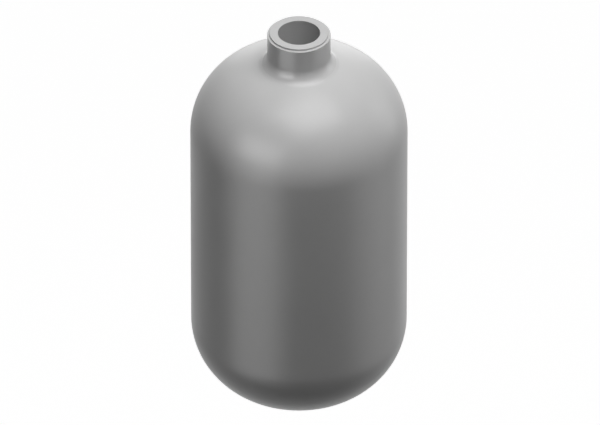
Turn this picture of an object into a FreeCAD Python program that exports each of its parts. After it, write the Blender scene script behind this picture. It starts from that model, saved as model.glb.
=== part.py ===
import FreeCAD, Part
import math
import os
import Sketcher

Vector = FreeCAD.Vector

# A small diaphragm expansion tank that hangs by its port. The origin is the centre of the
# raised sealing face on the port, +Z points up out of the port and the tank lies below it.

doc = FreeCAD.newDocument("ExpansionTank")

# Driving dimensions in millimetres
driving = [
    ("shell_diameter", 125.0, "outside of the steel shell"),
    ("shell_wall", 1.5, "sheet of both deep-drawn shells"),
    ("knuckle_offset", 16.5, "axis to the middle of the knuckle's arc, where a dished end turns in"),
    ("crown_radius", 85.0, "outside radius of the middle of a dished end"),
    ("upper_straight", 65.0, "cylinder height of the upper shell"),
    ("lower_straight", 65.0, "cylinder height of the lower shell"),
    ("face_above_knuckle", 68.5, "sealing face above the top of the cylinder"),
    ("collar_diameter", 36.4, "outside of the port collar"),
    ("face_diameter", 33.6, "outside of the raised sealing face"),
    ("face_height", 1.2, "sealing face above the collar's shoulder"),
    ("port_diameter", 24.12, "bore, the inner diameter of a 3/4 inch pipe thread"),
    ("root_radius", 8.0, "fillet between collar and dished end"),
    ("foot_diameter", 54.0, "butt weld of the port neck in the upper shell"),
    ("edge_break", 0.3, "chamfer on turned edges"),
    ("port_seal_diameter", 31.2, "middle of the O-ring under the port neck"),
    ("port_seal_section", 2.4, "thickness of that O-ring"),
    ("seat_gap", 0.05, "play where a seal or a band seats"),
    ("slip", 0.1, "play between the shell and what is pushed into it"),
    ("liner_wall", 1.5, "moulded liner"),
    ("liner_hole_diameter", 26.4, "hole of the liner under the port"),
    ("liner_foot_width", 6.0, "inward rim of the liner over the diaphragm's bead"),
    ("hoop_wall", 1.5, "backing hoop"),
    ("hoop_reach", 15.0, "backing hoop above and below the girth joint"),
    ("bead_height", 5.0, "bead round the diaphragm's rim"),
    ("bead_width", 4.5, "bead from its outside inwards"),
    ("diaphragm_wall", 2.0, "rubber of the diaphragm"),
    ("diaphragm_skirt", 10.0, "straight rim of the diaphragm below the girth joint"),
    ("diaphragm_knuckle", 34.0, "outside radius where the cup turns in"),
    ("diaphragm_crown", 80.0, "outside radius of the cup's bottom"),
    ("clamp_wall", 1.5, "clamp ring"),
    ("boss_diameter", 16.0, "valve boss where it passes the shell"),
    ("boss_flange_diameter", 22.0, "flange of the valve boss inside the shell"),
    ("boss_flange_height", 3.0, "thickness of that flange"),
    ("boss_stand", 0.5, "valve boss below the bottom of the shell"),
    ("washer_diameter", 13.6, "sealing washer under the valve"),
    ("washer_height", 1.0, "thickness of that washer"),
    ("shank_diameter", 9.7, "valve shank in the boss, 1/8 inch pipe thread"),
    ("shank_reach", 2.5, "valve shank above the flange of the boss"),
    ("hex_flats", 12.0, "spanner size of the valve"),
    ("hex_height", 3.5, "height of the hexagon"),
    ("barrel_diameter", 7.7, "valve barrel with the cap's thread"),
    ("barrel_length", 6.8, "valve barrel below the hexagon"),
    ("plug_bore_diameter", 5.3, "bore of the barrel for the core's plug"),
    ("core_bore_diameter", 4.0, "bore further in"),
    ("plug_depth", 0.6, "plug above the mouth of the barrel"),
    ("plug_length", 4.0, "slotted plug"),
    ("plug_slot_width", 1.6, "slot across the plug"),
    ("plug_slot_depth", 2.0, "depth of that slot"),
    ("plug_hole_diameter", 2.0, "hole of the plug round the pin"),
    ("core_length", 7.4, "barrel of the core from the plug to its seat"),
    ("core_head_length", 1.4, "head of the core's barrel against the plug"),
    ("core_gasket_length", 2.0, "tapered gasket round the core's barrel"),
    ("core_gasket_root", 2.8, "inside diameter of that gasket"),
    ("core_diameter", 3.4, "core's barrel beyond its gasket"),
    ("spring_room_diameter", 2.1, "chamber of the spring"),
    ("ledge_height", 1.5, "ledge that carries the spring"),
    ("ledge_hole_diameter", 1.6, "air way round the pin in that ledge"),
    ("pin_diameter", 0.9, "pin of the valve"),
    ("pin_depth", 0.9, "tip of the pin above the mouth of the barrel"),
    ("collar_gap", 0.3, "pin's collar above the plug when the valve is shut"),
    ("pin_collar_height", 0.4, "collar that bears on the spring"),
    ("spring_wire", 0.25, "spring wire"),
    ("spring_pitch", 0.85, "spring pitch"),
    ("spring_play", 0.1, "play between the spring's coil and its chamber"),
    ("seat_gasket_height", 1.0, "gasket in the cup"),
    ("seat_gasket_stand", 0.5, "gasket out of the cup"),
    ("seat_gasket_diameter", 2.5, "outside of that gasket"),
    ("cup_diameter", 3.1, "outside of the cup"),
    ("cup_length", 1.7, "height of the cup"),
    ("cap_diameter", 9.8, "outside of the valve cap"),
    ("cap_play", 0.1, "play of the cap's thread on the barrel"),
    ("cap_lip_gap", 0.3, "cap below the hexagon"),
    ("cap_end_wall", 1.0, "closed end of the cap"),
    ("cap_gasket_height", 0.8, "sealing disc in the cap"),
    ("flute_count", 12, "finger grooves round the cap"),
    ("flute_diameter", 1.2, "width of a finger groove"),
    ("flute_length", 5.5, "length of a finger groove from the cap's end"),
]
sizes = doc.addObject("Spreadsheet::Sheet", "Sizes")
for row, (alias, value, meaning) in enumerate(driving, start=1):
    sizes.set(f"A{row}", alias)
    sizes.set(f"B{row}", str(value))
    sizes.set(f"C{row}", meaning)
    sizes.setAlias(f"B{row}", alias)
doc.recompute()

# Radii and heights that follow from the driving dimensions
places = doc.addObject("App::VarSet", "Places")


def derive(name, formula):
    places.addProperty("App::PropertyFloat", name, "Derived")
    places.setExpression(name, formula)
    places.recompute()


# Shell
derive("shell_r", "Sizes.shell_diameter / 2")
derive("inner_r", "shell_r - Sizes.shell_wall")
derive("knuckle_r", "shell_r - Sizes.knuckle_offset")
derive("crown_span", "Sizes.crown_radius - knuckle_r")
derive("crown_drop", "sqrt(crown_span ^ 2 - Sizes.knuckle_offset ^ 2)")
derive("upper_knuckle_z", "-Sizes.face_above_knuckle")
derive("upper_centre_z", "upper_knuckle_z - crown_drop")
derive("girth_z", "upper_knuckle_z - Sizes.upper_straight")
derive("lower_knuckle_z", "girth_z - Sizes.lower_straight")
derive("lower_centre_z", "lower_knuckle_z + crown_drop")
derive("bottom_z", "lower_centre_z - Sizes.crown_radius")

# Port neck
derive("bore_r", "Sizes.port_diameter / 2")
derive("face_r", "Sizes.face_diameter / 2")
derive("collar_r", "Sizes.collar_diameter / 2")
derive("foot_r", "Sizes.foot_diameter / 2")
derive("root_centre_r", "collar_r + Sizes.root_radius")
derive("root_reach", "Sizes.crown_radius + Sizes.root_radius")
derive("root_rise", "sqrt(root_reach ^ 2 - root_centre_r ^ 2)")
derive("root_z", "upper_centre_z + root_rise")
derive("toe_r", "root_centre_r * Sizes.crown_radius / root_reach")
derive("toe_z", "upper_centre_z + root_rise * Sizes.crown_radius / root_reach")
derive("inside_crown", "Sizes.crown_radius - Sizes.shell_wall")
derive("inside_knuckle", "knuckle_r - Sizes.shell_wall")

# Liner and its O-ring
derive("liner_crown", "inside_crown - Sizes.slip")
derive("liner_inner_crown", "liner_crown - Sizes.liner_wall")
derive("liner_knuckle", "inside_knuckle - Sizes.slip")
derive("liner_inner_knuckle", "liner_knuckle - Sizes.liner_wall")
derive("liner_r", "inner_r - Sizes.slip")
derive("liner_hole_r", "Sizes.liner_hole_diameter / 2")
derive("liner_foot_r", "liner_r - Sizes.liner_foot_width")
derive("seal_r", "Sizes.port_seal_diameter / 2")
derive("seal_section_r", "Sizes.port_seal_section / 2")
derive("seal_reach", "liner_crown + seal_section_r + Sizes.seat_gap")
derive("seal_z", "upper_centre_z + sqrt(seal_reach ^ 2 - seal_r ^ 2)")
derive("groove_top_z", "seal_z + seal_section_r + Sizes.seat_gap")
derive("groove_half_width", "seal_section_r + 2 * Sizes.seat_gap")

# Backing hoop, diaphragm and clamp ring
derive("hoop_top_z", "girth_z + Sizes.hoop_reach")
derive("hoop_bottom_z", "girth_z - Sizes.hoop_reach")
derive("hoop_inner_r", "liner_r - Sizes.hoop_wall")
derive("rim_r", "hoop_inner_r - Sizes.seat_gap")
derive("rim_inner_r", "rim_r - Sizes.diaphragm_wall")
derive("bead_top_z", "hoop_top_z - Sizes.seat_gap")
derive("bead_bottom_z", "bead_top_z - Sizes.bead_height")
derive("bead_inner_r", "rim_r - Sizes.bead_width")
derive("skirt_z", "girth_z - Sizes.diaphragm_skirt")
derive("cup_torus_r", "rim_r - Sizes.diaphragm_knuckle")
derive("cup_span", "Sizes.diaphragm_crown - Sizes.diaphragm_knuckle")
derive("cup_rise", "sqrt(cup_span ^ 2 - cup_torus_r ^ 2)")
derive("cup_centre_z", "skirt_z + cup_rise")
derive("cup_inner_crown", "Sizes.diaphragm_crown - Sizes.diaphragm_wall")
derive("cup_inner_knuckle", "Sizes.diaphragm_knuckle - Sizes.diaphragm_wall")
derive("clamp_r", "rim_inner_r - Sizes.seat_gap")

# Charging valve, from the shell down to its mouth
derive("boss_r", "Sizes.boss_diameter / 2")
derive("boss_hole_r", "boss_r + Sizes.seat_gap")
derive("boss_flange_r", "Sizes.boss_flange_diameter / 2")
derive("boss_seat_z", "lower_centre_z - sqrt(inside_crown ^ 2 - boss_flange_r ^ 2)")
derive("boss_top_z", "boss_seat_z + Sizes.boss_flange_height")
derive("boss_face_z", "bottom_z - Sizes.boss_stand")
derive("shank_r", "Sizes.shank_diameter / 2")
derive("boss_bore_r", "shank_r + Sizes.seat_gap")
derive("shank_top_z", "boss_top_z + Sizes.shank_reach")
derive("hex_top_z", "boss_face_z - Sizes.washer_height")
derive("hex_bottom_z", "hex_top_z - Sizes.hex_height")
derive("hex_corner_r", "Sizes.hex_flats / sqrt(3)")
derive("barrel_r", "Sizes.barrel_diameter / 2")
derive("mouth_z", "hex_bottom_z - Sizes.barrel_length")
derive("plug_bore_r", "Sizes.plug_bore_diameter / 2")
derive("core_bore_r", "Sizes.core_bore_diameter / 2")

# Valve core, from its plug up to the cup on the inner end of the pin
derive("plug_r", "plug_bore_r - Sizes.seat_gap")
derive("plug_z", "mouth_z + Sizes.plug_depth")
derive("core_z", "plug_z + Sizes.plug_length")
derive("gasket_z", "core_z + Sizes.core_head_length")
derive("gasket_top_z", "gasket_z + Sizes.core_gasket_length")
derive("core_head_r", "plug_bore_r - 3 * Sizes.seat_gap")
derive("gasket_root_r", "Sizes.core_gasket_root / 2")
derive("core_r", "Sizes.core_diameter / 2")
derive("core_seat_z", "core_z + Sizes.core_length")
derive("ledge_z", "core_seat_z - Sizes.ledge_height")
derive("spring_room_r", "Sizes.spring_room_diameter / 2")
derive("ledge_hole_r", "Sizes.ledge_hole_diameter / 2")
derive("pin_r", "Sizes.pin_diameter / 2")
derive("pin_tip_z", "mouth_z + Sizes.pin_depth")
derive("pin_collar_z", "core_z + Sizes.collar_gap")
derive("pin_collar_top_z", "pin_collar_z + Sizes.pin_collar_height")
derive("spring_wire_r", "Sizes.spring_wire / 2")
derive("coil_outer_r", "spring_room_r - Sizes.spring_play")
derive("coil_r", "coil_outer_r - spring_wire_r")
derive("coil_start_z", "pin_collar_top_z + spring_wire_r")
derive("coil_height", "ledge_z - pin_collar_top_z - Sizes.spring_wire")
derive("pin_collar_r", "coil_outer_r")
derive("seat_gasket_r", "Sizes.seat_gasket_diameter / 2")
derive("seat_gasket_top_z", "core_seat_z + Sizes.seat_gasket_height")
derive("cup_z", "core_seat_z + Sizes.seat_gasket_stand")
derive("cup_r", "Sizes.cup_diameter / 2")
derive("cup_top_z", "cup_z + Sizes.cup_length")

# Valve cap
derive("cap_r", "Sizes.cap_diameter / 2")
derive("cap_bore_r", "barrel_r + Sizes.cap_play")
derive("cap_lip_z", "hex_bottom_z - Sizes.cap_lip_gap")
derive("cap_gasket_top_z", "mouth_z - Sizes.seat_gap")
derive("cap_floor_z", "cap_gasket_top_z - Sizes.cap_gasket_height")
derive("cap_end_z", "cap_floor_z - Sizes.cap_end_wall")
derive("cap_gasket_r", "cap_bore_r - Sizes.seat_gap")
derive("flute_r", "Sizes.flute_diameter / 2")
derive("flute_centre_r", "cap_r + flute_r / 3")

parts = []


def value_of(formula):
    return float(places.evalExpression(formula))


def bind(item, path, formula):
    item.setExpression(path, formula)


def origin_item(body, role):
    for item in body.Origin.OriginFeatures:
        if item.Role == role:
            return item
    raise ValueError(role)


def new_body(label):
    body = doc.addObject("PartDesign::Body", label)
    parts.append(body)
    return body


def new_sketch(body, name, plane):
    sketch = body.newObject("Sketcher::SketchObject", name)
    sketch.AttachmentSupport = (origin_item(body, plane), "")
    sketch.MapMode = "FlatFace"
    return sketch


def at_height(sketch, formula):
    bind(sketch, "AttachmentOffset.Base.z", formula)


def pin_vertex(sketch, edge, end, across, along, name):
    # ties one end of an edge to its formulas, or to an axis where the formula is 0
    for formula, kind, axis, tag in ((across, "DistanceX", -2, "x"), (along, "DistanceY", -1, "z")):
        if formula == "0":
            sketch.addConstraint(Sketcher.Constraint("PointOnObject", edge, end, axis))
        else:
            rule = Sketcher.Constraint(kind, -1, 1, edge, end, value_of(formula))
            index = sketch.addConstraint(rule)
            sketch.renameConstraint(index, f"{name}_{tag}")
            bind(sketch, f"Constraints.{name}_{tag}", formula)


def arc_between(start, end, radius, turn):
    # turn is +1 for an arc that runs anticlockwise from start to end, -1 for clockwise
    chord = end - start
    half = chord.Length / 2
    side = Vector(-chord.y, chord.x, 0).normalize()
    centre = start + chord / 2 + side * (turn * math.sqrt(radius ** 2 - half ** 2))
    circle = Part.Circle(centre, Vector(0, 0, 1), radius)
    first, last = (start, end) if turn > 0 else (end, start)
    return Part.ArcOfCircle(circle, circle.parameter(first), circle.parameter(last))


def draw_outline(sketch, corners):
    # corners: (radius, height) formulas; an arc that leaves a corner adds (its radius, its turn)
    points = [Vector(value_of(corner[0]), value_of(corner[1]), 0) for corner in corners]
    edges = []
    for index, corner in enumerate(corners):
        start = points[index]
        end = points[(index + 1) % len(points)]
        if len(corner) == 2:
            edge = sketch.addGeometry(Part.LineSegment(start, end), False)
            edges.append((edge, 1, 2))
        else:
            radius, turn = corner[2]
            edge = sketch.addGeometry(arc_between(start, end, value_of(radius), turn), False)
            edges.append((edge, 1, 2) if turn > 0 else (edge, 2, 1))
            rule = sketch.addConstraint(Sketcher.Constraint("Radius", edge, value_of(radius)))
            sketch.renameConstraint(rule, f"arc{index}")
            bind(sketch, f"Constraints.arc{index}", radius)
    for index, (edge, start_end, _) in enumerate(edges):
        before, _, before_end = edges[index - 1]
        sketch.addConstraint(Sketcher.Constraint("Coincident", before, before_end, edge, start_end))
        pin_vertex(sketch, edge, start_end, corners[index][0], corners[index][1], f"p{index}")


def revolve(body, name, corners, feature="PartDesign::Revolution"):
    sketch = new_sketch(body, f"{name}_outline", "XZ_Plane")
    draw_outline(sketch, corners)
    turned = body.newObject(feature, name)
    turned.Profile = (sketch, [""])
    turned.ReferenceAxis = (sketch, ["V_Axis"])
    turned.Angle = 360
    doc.recompute()
    return turned


def revolved_body(label, corners):
    body = new_body(label)
    revolve(body, f"{label}_turned", corners)
    return body


def volume_drop(body, before):
    # a cut that points away from the solid removes nothing, so each one is measured
    doc.recompute()
    after = body.Shape.Volume
    if after >= before - 1e-6:
        raise RuntimeError(f"{body.Label}: the cut removed nothing")
    return after


def circles_at(body, radius, height):
    # names of the round edges of a body with this radius at this height
    names = []
    for index, edge in enumerate(body.Shape.Edges, start=1):
        if not isinstance(edge.Curve, Part.Circle):
            continue
        centre = edge.Curve.Center
        if abs(edge.Curve.Radius - radius) < 1e-4 and abs(centre.z - height) < 1e-4:
            names.append(f"Edge{index}")
    return names


def break_edges(body, name, rims):
    # rims: (radius, height) formulas of the turned edges that get the edge break
    names = []
    for radius, height in rims:
        names += circles_at(body, value_of(radius), value_of(height))
    base = body.Tip
    chamfer = body.newObject("PartDesign::Chamfer", name)
    chamfer.Base = (base, names)
    bind(chamfer, "Size", "Sizes.edge_break")
    body.Tip = chamfer
    doc.recompute()


# Upper shell: cylinder, knuckle and crown, open where the port neck is welded in
def crown_point(radius, centre, sphere, sign):
    return f"{centre} {sign} sqrt({sphere} ^ 2 - {radius} ^ 2)"


def junction(sphere):
    # radius and height above the crown's centre where a crown of this radius meets the knuckle
    return (f"{sphere} * Sizes.knuckle_offset / Places.crown_span",
            f"{sphere} * Places.crown_drop / Places.crown_span")


def build_upper_shell():
    outer_x, outer_rise = junction("Sizes.crown_radius")
    inner_x, inner_rise = junction("Places.inside_crown")
    centre = "Places.upper_centre_z"
    outer_top = crown_point("Places.foot_r", centre, "Sizes.crown_radius", "+")
    inner_top = crown_point("Places.foot_r", centre, "Places.inside_crown", "+")
    return revolved_body("upper_shell", [
        ("Places.foot_r", outer_top, ("Sizes.crown_radius", -1)),
        (outer_x, f"{centre} + {outer_rise}", ("Places.knuckle_r", -1)),
        ("Places.shell_r", "Places.upper_knuckle_z"),
        ("Places.shell_r", "Places.girth_z"),
        ("Places.inner_r", "Places.girth_z"),
        ("Places.inner_r", "Places.upper_knuckle_z", ("Places.inside_knuckle", 1)),
        (inner_x, f"{centre} + {inner_rise}", ("Places.inside_crown", 1)),
        ("Places.foot_r", inner_top),
    ])


# Lower shell: the same drawing turned over, open where the valve boss passes
def build_lower_shell():
    outer_x, outer_rise = junction("Sizes.crown_radius")
    inner_x, inner_rise = junction("Places.inside_crown")
    centre = "Places.lower_centre_z"
    outer_hole = crown_point("Places.boss_hole_r", centre, "Sizes.crown_radius", "-")
    inner_hole = crown_point("Places.boss_hole_r", centre, "Places.inside_crown", "-")
    return revolved_body("lower_shell", [
        ("Places.boss_hole_r", outer_hole, ("Sizes.crown_radius", 1)),
        (outer_x, f"{centre} - {outer_rise}", ("Places.knuckle_r", 1)),
        ("Places.shell_r", "Places.lower_knuckle_z"),
        ("Places.shell_r", "Places.girth_z"),
        ("Places.inner_r", "Places.girth_z"),
        ("Places.inner_r", "Places.lower_knuckle_z", ("Places.inside_knuckle", -1)),
        (inner_x, f"{centre} - {inner_rise}", ("Places.inside_crown", -1)),
        ("Places.boss_hole_r", inner_hole),
    ])


# Port neck: bore, raised face, collar, root fillet and a foot that carries the crown on
def build_port_neck():
    centre = "Places.upper_centre_z"
    bore_end = crown_point("Places.bore_r", centre, "Places.inside_crown", "+")
    foot_top = crown_point("Places.foot_r", centre, "Sizes.crown_radius", "+")
    foot_under = crown_point("Places.foot_r", centre, "Places.inside_crown", "+")
    body = revolved_body("port_neck", [
        ("Places.bore_r", "0"),
        ("Places.face_r", "0"),
        ("Places.face_r", "-Sizes.face_height"),
        ("Places.collar_r", "-Sizes.face_height"),
        ("Places.collar_r", "Places.root_z", ("Sizes.root_radius", 1)),
        ("Places.toe_r", "Places.toe_z", ("Sizes.crown_radius", -1)),
        ("Places.foot_r", foot_top),
        ("Places.foot_r", foot_under, ("Places.inside_crown", 1)),
        ("Places.bore_r", bore_end),
    ])
    before = body.Shape.Volume
    groove = revolve(body, "port_seal_groove", [
        ("Places.seal_r - Places.groove_half_width", "Places.groove_top_z"),
        ("Places.seal_r + Places.groove_half_width", "Places.groove_top_z"),
        ("Places.seal_r + Places.groove_half_width", "Places.seal_z - Sizes.port_seal_section"),
        ("Places.seal_r - Places.groove_half_width", "Places.seal_z - Sizes.port_seal_section"),
    ], "PartDesign::Groove")
    body.Tip = groove
    volume_drop(body, before)
    break_edges(body, "port_neck_edges", [
        ("Places.collar_r", "-Sizes.face_height"),
        ("Places.face_r", "0"),
    ])


# O-ring between the port neck and the liner
def build_port_seal():
    ring = doc.addObject("Part::Torus", "port_seal_ring")
    bind(ring, "Radius1", "Places.seal_r")
    bind(ring, "Radius2", "Places.seal_section_r")
    bind(ring, "Placement.Base.z", "Places.seal_z")
    parts.append(ring)


# Liner: follows the inside of the upper shell down to the hoop and turns in over the bead
def build_liner():
    centre = "Places.upper_centre_z"
    outer_x, outer_rise = junction("Places.liner_crown")
    inner_x, inner_rise = junction("Places.liner_inner_crown")
    outer_hole = crown_point("Places.liner_hole_r", centre, "Places.liner_crown", "+")
    inner_hole = crown_point("Places.liner_hole_r", centre, "Places.liner_inner_crown", "+")
    revolved_body("water_liner", [
        ("Places.liner_hole_r", outer_hole, ("Places.liner_crown", -1)),
        (outer_x, f"{centre} + {outer_rise}", ("Places.liner_knuckle", -1)),
        ("Places.liner_r", "Places.upper_knuckle_z"),
        ("Places.liner_r", "Places.hoop_top_z"),
        ("Places.liner_foot_r", "Places.hoop_top_z"),
        ("Places.liner_foot_r", "Places.hoop_top_z + Sizes.liner_wall"),
        ("Places.liner_r - Sizes.liner_wall", "Places.hoop_top_z + Sizes.liner_wall"),
        ("Places.liner_r - Sizes.liner_wall", "Places.upper_knuckle_z", ("Places.liner_inner_knuckle", 1)),
        (inner_x, f"{centre} + {inner_rise}", ("Places.liner_inner_crown", 1)),
        ("Places.liner_hole_r", inner_hole),
    ])


# Backing hoop behind the girth joint
def build_backing_hoop():
    revolved_body("backing_hoop", [
        ("Places.hoop_inner_r", "Places.hoop_top_z"),
        ("Places.liner_r", "Places.hoop_top_z"),
        ("Places.liner_r", "Places.hoop_bottom_z"),
        ("Places.hoop_inner_r", "Places.hoop_bottom_z"),
    ])


# Diaphragm: a bead, a straight rim and a dished cup of one thickness
def cup_junction(sphere):
    # where a cup bottom of this radius meets the cup's knuckle
    return (f"{sphere} * Places.cup_torus_r / Places.cup_span",
            f"Places.cup_centre_z - {sphere} * Places.cup_rise / Places.cup_span")


def build_diaphragm():
    outer_x, outer_z = cup_junction("Sizes.diaphragm_crown")
    inner_x, inner_z = cup_junction("Places.cup_inner_crown")
    revolved_body("diaphragm", [
        ("Places.bead_inner_r", "Places.bead_top_z"),
        ("Places.rim_r", "Places.bead_top_z"),
        ("Places.rim_r", "Places.skirt_z", ("Sizes.diaphragm_knuckle", -1)),
        (outer_x, outer_z, ("Sizes.diaphragm_crown", -1)),
        ("0", "Places.cup_centre_z - Sizes.diaphragm_crown"),
        ("0", "Places.cup_centre_z - Places.cup_inner_crown", ("Places.cup_inner_crown", 1)),
        (inner_x, inner_z, ("Places.cup_inner_knuckle", 1)),
        ("Places.rim_inner_r", "Places.skirt_z"),
        ("Places.rim_inner_r", "Places.bead_bottom_z"),
        ("Places.bead_inner_r", "Places.bead_bottom_z"),
    ])


# Clamp ring: presses the rim of the diaphragm against the hoop, under the bead
def build_clamp_ring():
    revolved_body("clamp_ring", [
        ("Places.clamp_r - Sizes.clamp_wall", "Places.bead_bottom_z - Sizes.seat_gap"),
        ("Places.clamp_r", "Places.bead_bottom_z - Sizes.seat_gap"),
        ("Places.clamp_r", "Places.skirt_z"),
        ("Places.clamp_r - Sizes.clamp_wall", "Places.skirt_z"),
    ])


# Valve boss: spigot through the shell and a flange on its inside
def build_valve_boss():
    body = revolved_body("valve_boss", [
        ("Places.boss_bore_r", "Places.boss_top_z"),
        ("Places.boss_flange_r", "Places.boss_top_z"),
        ("Places.boss_flange_r", "Places.boss_seat_z"),
        ("Places.boss_r", "Places.boss_seat_z"),
        ("Places.boss_r", "Places.boss_face_z"),
        ("Places.boss_bore_r", "Places.boss_face_z"),
    ])
    break_edges(body, "valve_boss_edges", [
        ("Places.boss_flange_r", "Places.boss_top_z"),
        ("Places.boss_r", "Places.boss_face_z"),
    ])


def build_valve_washer():
    revolved_body("valve_washer", [
        ("Places.boss_bore_r", "Places.boss_face_z"),
        ("Sizes.washer_diameter / 2", "Places.boss_face_z"),
        ("Sizes.washer_diameter / 2", "Places.hex_top_z"),
        ("Places.boss_bore_r", "Places.hex_top_z"),
    ])


# Valve body: turned shank, hexagon and barrel with the stepped bore of the core
def build_valve_body():
    body = revolved_body("valve_body", [
        ("Places.core_bore_r", "Places.shank_top_z"),
        ("Places.shank_r", "Places.shank_top_z"),
        ("Places.shank_r", "Places.hex_top_z"),
        ("Places.hex_corner_r", "Places.hex_top_z"),
        ("Places.hex_corner_r", "Places.hex_bottom_z"),
        ("Places.barrel_r", "Places.hex_bottom_z"),
        ("Places.barrel_r", "Places.mouth_z"),
        ("Places.plug_bore_r", "Places.mouth_z"),
        ("Places.plug_bore_r", "Places.gasket_z"),
        ("Places.core_bore_r", "Places.gasket_top_z"),
    ])
    break_edges(body, "valve_body_edges", [
        ("Places.hex_corner_r", "Places.hex_top_z"),
        ("Places.hex_corner_r", "Places.hex_bottom_z"),
        ("Places.barrel_r", "Places.mouth_z"),
        ("Places.shank_r", "Places.shank_top_z"),
    ])
    before = body.Shape.Volume
    sketch = new_sketch(body, "hexagon", "XY_Plane")
    at_height(sketch, "Places.hex_bottom_z")
    ring = sketch.addGeometry(Part.Circle(Vector(), Vector(0, 0, 1), 2 * value_of("Places.hex_corner_r")), False)
    sketch.addConstraint(Sketcher.Constraint("Coincident", ring, 3, -1, 1))
    rule = sketch.addConstraint(Sketcher.Constraint("Radius", ring, 2 * value_of("Places.hex_corner_r")))
    sketch.renameConstraint(rule, "blank")
    bind(sketch, "Constraints.blank", "2 * Places.hex_corner_r")
    draw_hexagon(sketch, "Places.hex_corner_r")
    flats = body.newObject("PartDesign::Pocket", "valve_hexagon")
    flats.Profile = (sketch, [""])
    bind(flats, "Length", "Sizes.hex_height")
    flats.Reversed = True
    body.Tip = flats
    volume_drop(body, before)
    return body


def draw_hexagon(sketch, corner):
    radius = value_of(corner)
    points = [Vector(radius * math.cos(math.radians(60 * side)), radius * math.sin(math.radians(60 * side)), 0)
              for side in range(6)]
    edges = [sketch.addGeometry(Part.LineSegment(points[side], points[(side + 1) % 6]), False)
             for side in range(6)]
    guide = sketch.addGeometry(Part.Circle(Vector(), Vector(0, 0, 1), radius), True)
    sketch.addConstraint(Sketcher.Constraint("Coincident", guide, 3, -1, 1))
    rule = sketch.addConstraint(Sketcher.Constraint("Radius", guide, radius))
    sketch.renameConstraint(rule, "corners")
    bind(sketch, "Constraints.corners", corner)
    for side in range(6):
        after = edges[(side + 1) % 6]
        sketch.addConstraint(Sketcher.Constraint("Coincident", edges[side], 2, after, 1))
        sketch.addConstraint(Sketcher.Constraint("PointOnObject", edges[side], 2, guide))
        if side:
            sketch.addConstraint(Sketcher.Constraint("Equal", edges[0], edges[side]))
    sketch.addConstraint(Sketcher.Constraint("PointOnObject", edges[0], 1, -1))


# Plug of the valve core, slotted across its outer end
def build_core_plug():
    body = revolved_body("core_plug", [
        ("Sizes.plug_hole_diameter / 2", "Places.core_z"),
        ("Places.plug_r", "Places.core_z"),
        ("Places.plug_r", "Places.plug_z"),
        ("Sizes.plug_hole_diameter / 2", "Places.plug_z"),
    ])
    before = body.Shape.Volume
    sketch = new_sketch(body, "plug_slot_outline", "XY_Plane")
    at_height(sketch, "Places.plug_z")
    half = "Sizes.plug_slot_width / 2"
    draw_outline(sketch, [
        ("-Sizes.plug_bore_diameter", f"-{half}"),
        ("Sizes.plug_bore_diameter", f"-{half}"),
        ("Sizes.plug_bore_diameter", half),
        ("-Sizes.plug_bore_diameter", half),
    ])
    slot = body.newObject("PartDesign::Pocket", "plug_slot")
    slot.Profile = (sketch, [""])
    bind(slot, "Length", "Sizes.plug_slot_depth")
    slot.Reversed = True
    body.Tip = slot
    volume_drop(body, before)


# Barrel of the valve core: head, groove for its gasket, spring chamber, ledge and seat
def build_core_barrel():
    revolved_body("core_barrel", [
        ("Places.spring_room_r", "Places.core_z"),
        ("Places.core_head_r", "Places.core_z"),
        ("Places.core_head_r", "Places.gasket_z"),
        ("Places.gasket_root_r", "Places.gasket_z"),
        ("Places.gasket_root_r", "Places.gasket_top_z"),
        ("Places.core_r", "Places.gasket_top_z"),
        ("Places.core_r", "Places.core_seat_z"),
        ("Places.ledge_hole_r", "Places.core_seat_z"),
        ("Places.ledge_hole_r", "Places.ledge_z"),
        ("Places.spring_room_r", "Places.ledge_z"),
    ])


def build_core_gasket():
    revolved_body("core_barrel_gasket", [
        ("Places.gasket_root_r", "Places.gasket_z"),
        ("Places.plug_bore_r - Sizes.seat_gap", "Places.gasket_z"),
        ("Places.core_bore_r - Sizes.seat_gap", "Places.gasket_top_z"),
        ("Places.gasket_root_r", "Places.gasket_top_z"),
    ])


# Pin with the collar that bears on the spring
def build_core_pin():
    revolved_body("core_pin", [
        ("0", "Places.pin_tip_z"),
        ("Places.pin_r", "Places.pin_tip_z"),
        ("Places.pin_r", "Places.pin_collar_z"),
        ("Places.pin_collar_r", "Places.pin_collar_z"),
        ("Places.pin_collar_r", "Places.pin_collar_top_z"),
        ("Places.pin_r", "Places.pin_collar_top_z"),
        ("Places.pin_r", "Places.cup_top_z"),
        ("0", "Places.cup_top_z"),
    ])


# Coil spring between the pin's collar and the ledge
def build_core_spring():
    path = doc.addObject("Part::Helix", "spring_path")
    bind(path, "Pitch", "Sizes.spring_pitch")
    bind(path, "Height", "Places.coil_height")
    bind(path, "Radius", "Places.coil_r")
    wire = doc.addObject("Part::Circle", "spring_section")
    bind(wire, "Radius", "Places.spring_wire_r")
    wire.Placement = FreeCAD.Placement(Vector(), FreeCAD.Rotation(Vector(1, 0, 0), 90))
    bind(wire, "Placement.Base.x", "Places.coil_r")
    coil = doc.addObject("Part::Sweep", "core_spring")
    coil.Sections = [wire]
    coil.Spine = (path, ["Edge1"])
    coil.Solid = True
    coil.Frenet = True
    bind(coil, "Placement.Base.z", "Places.coil_start_z")
    parts.append(coil)


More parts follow.
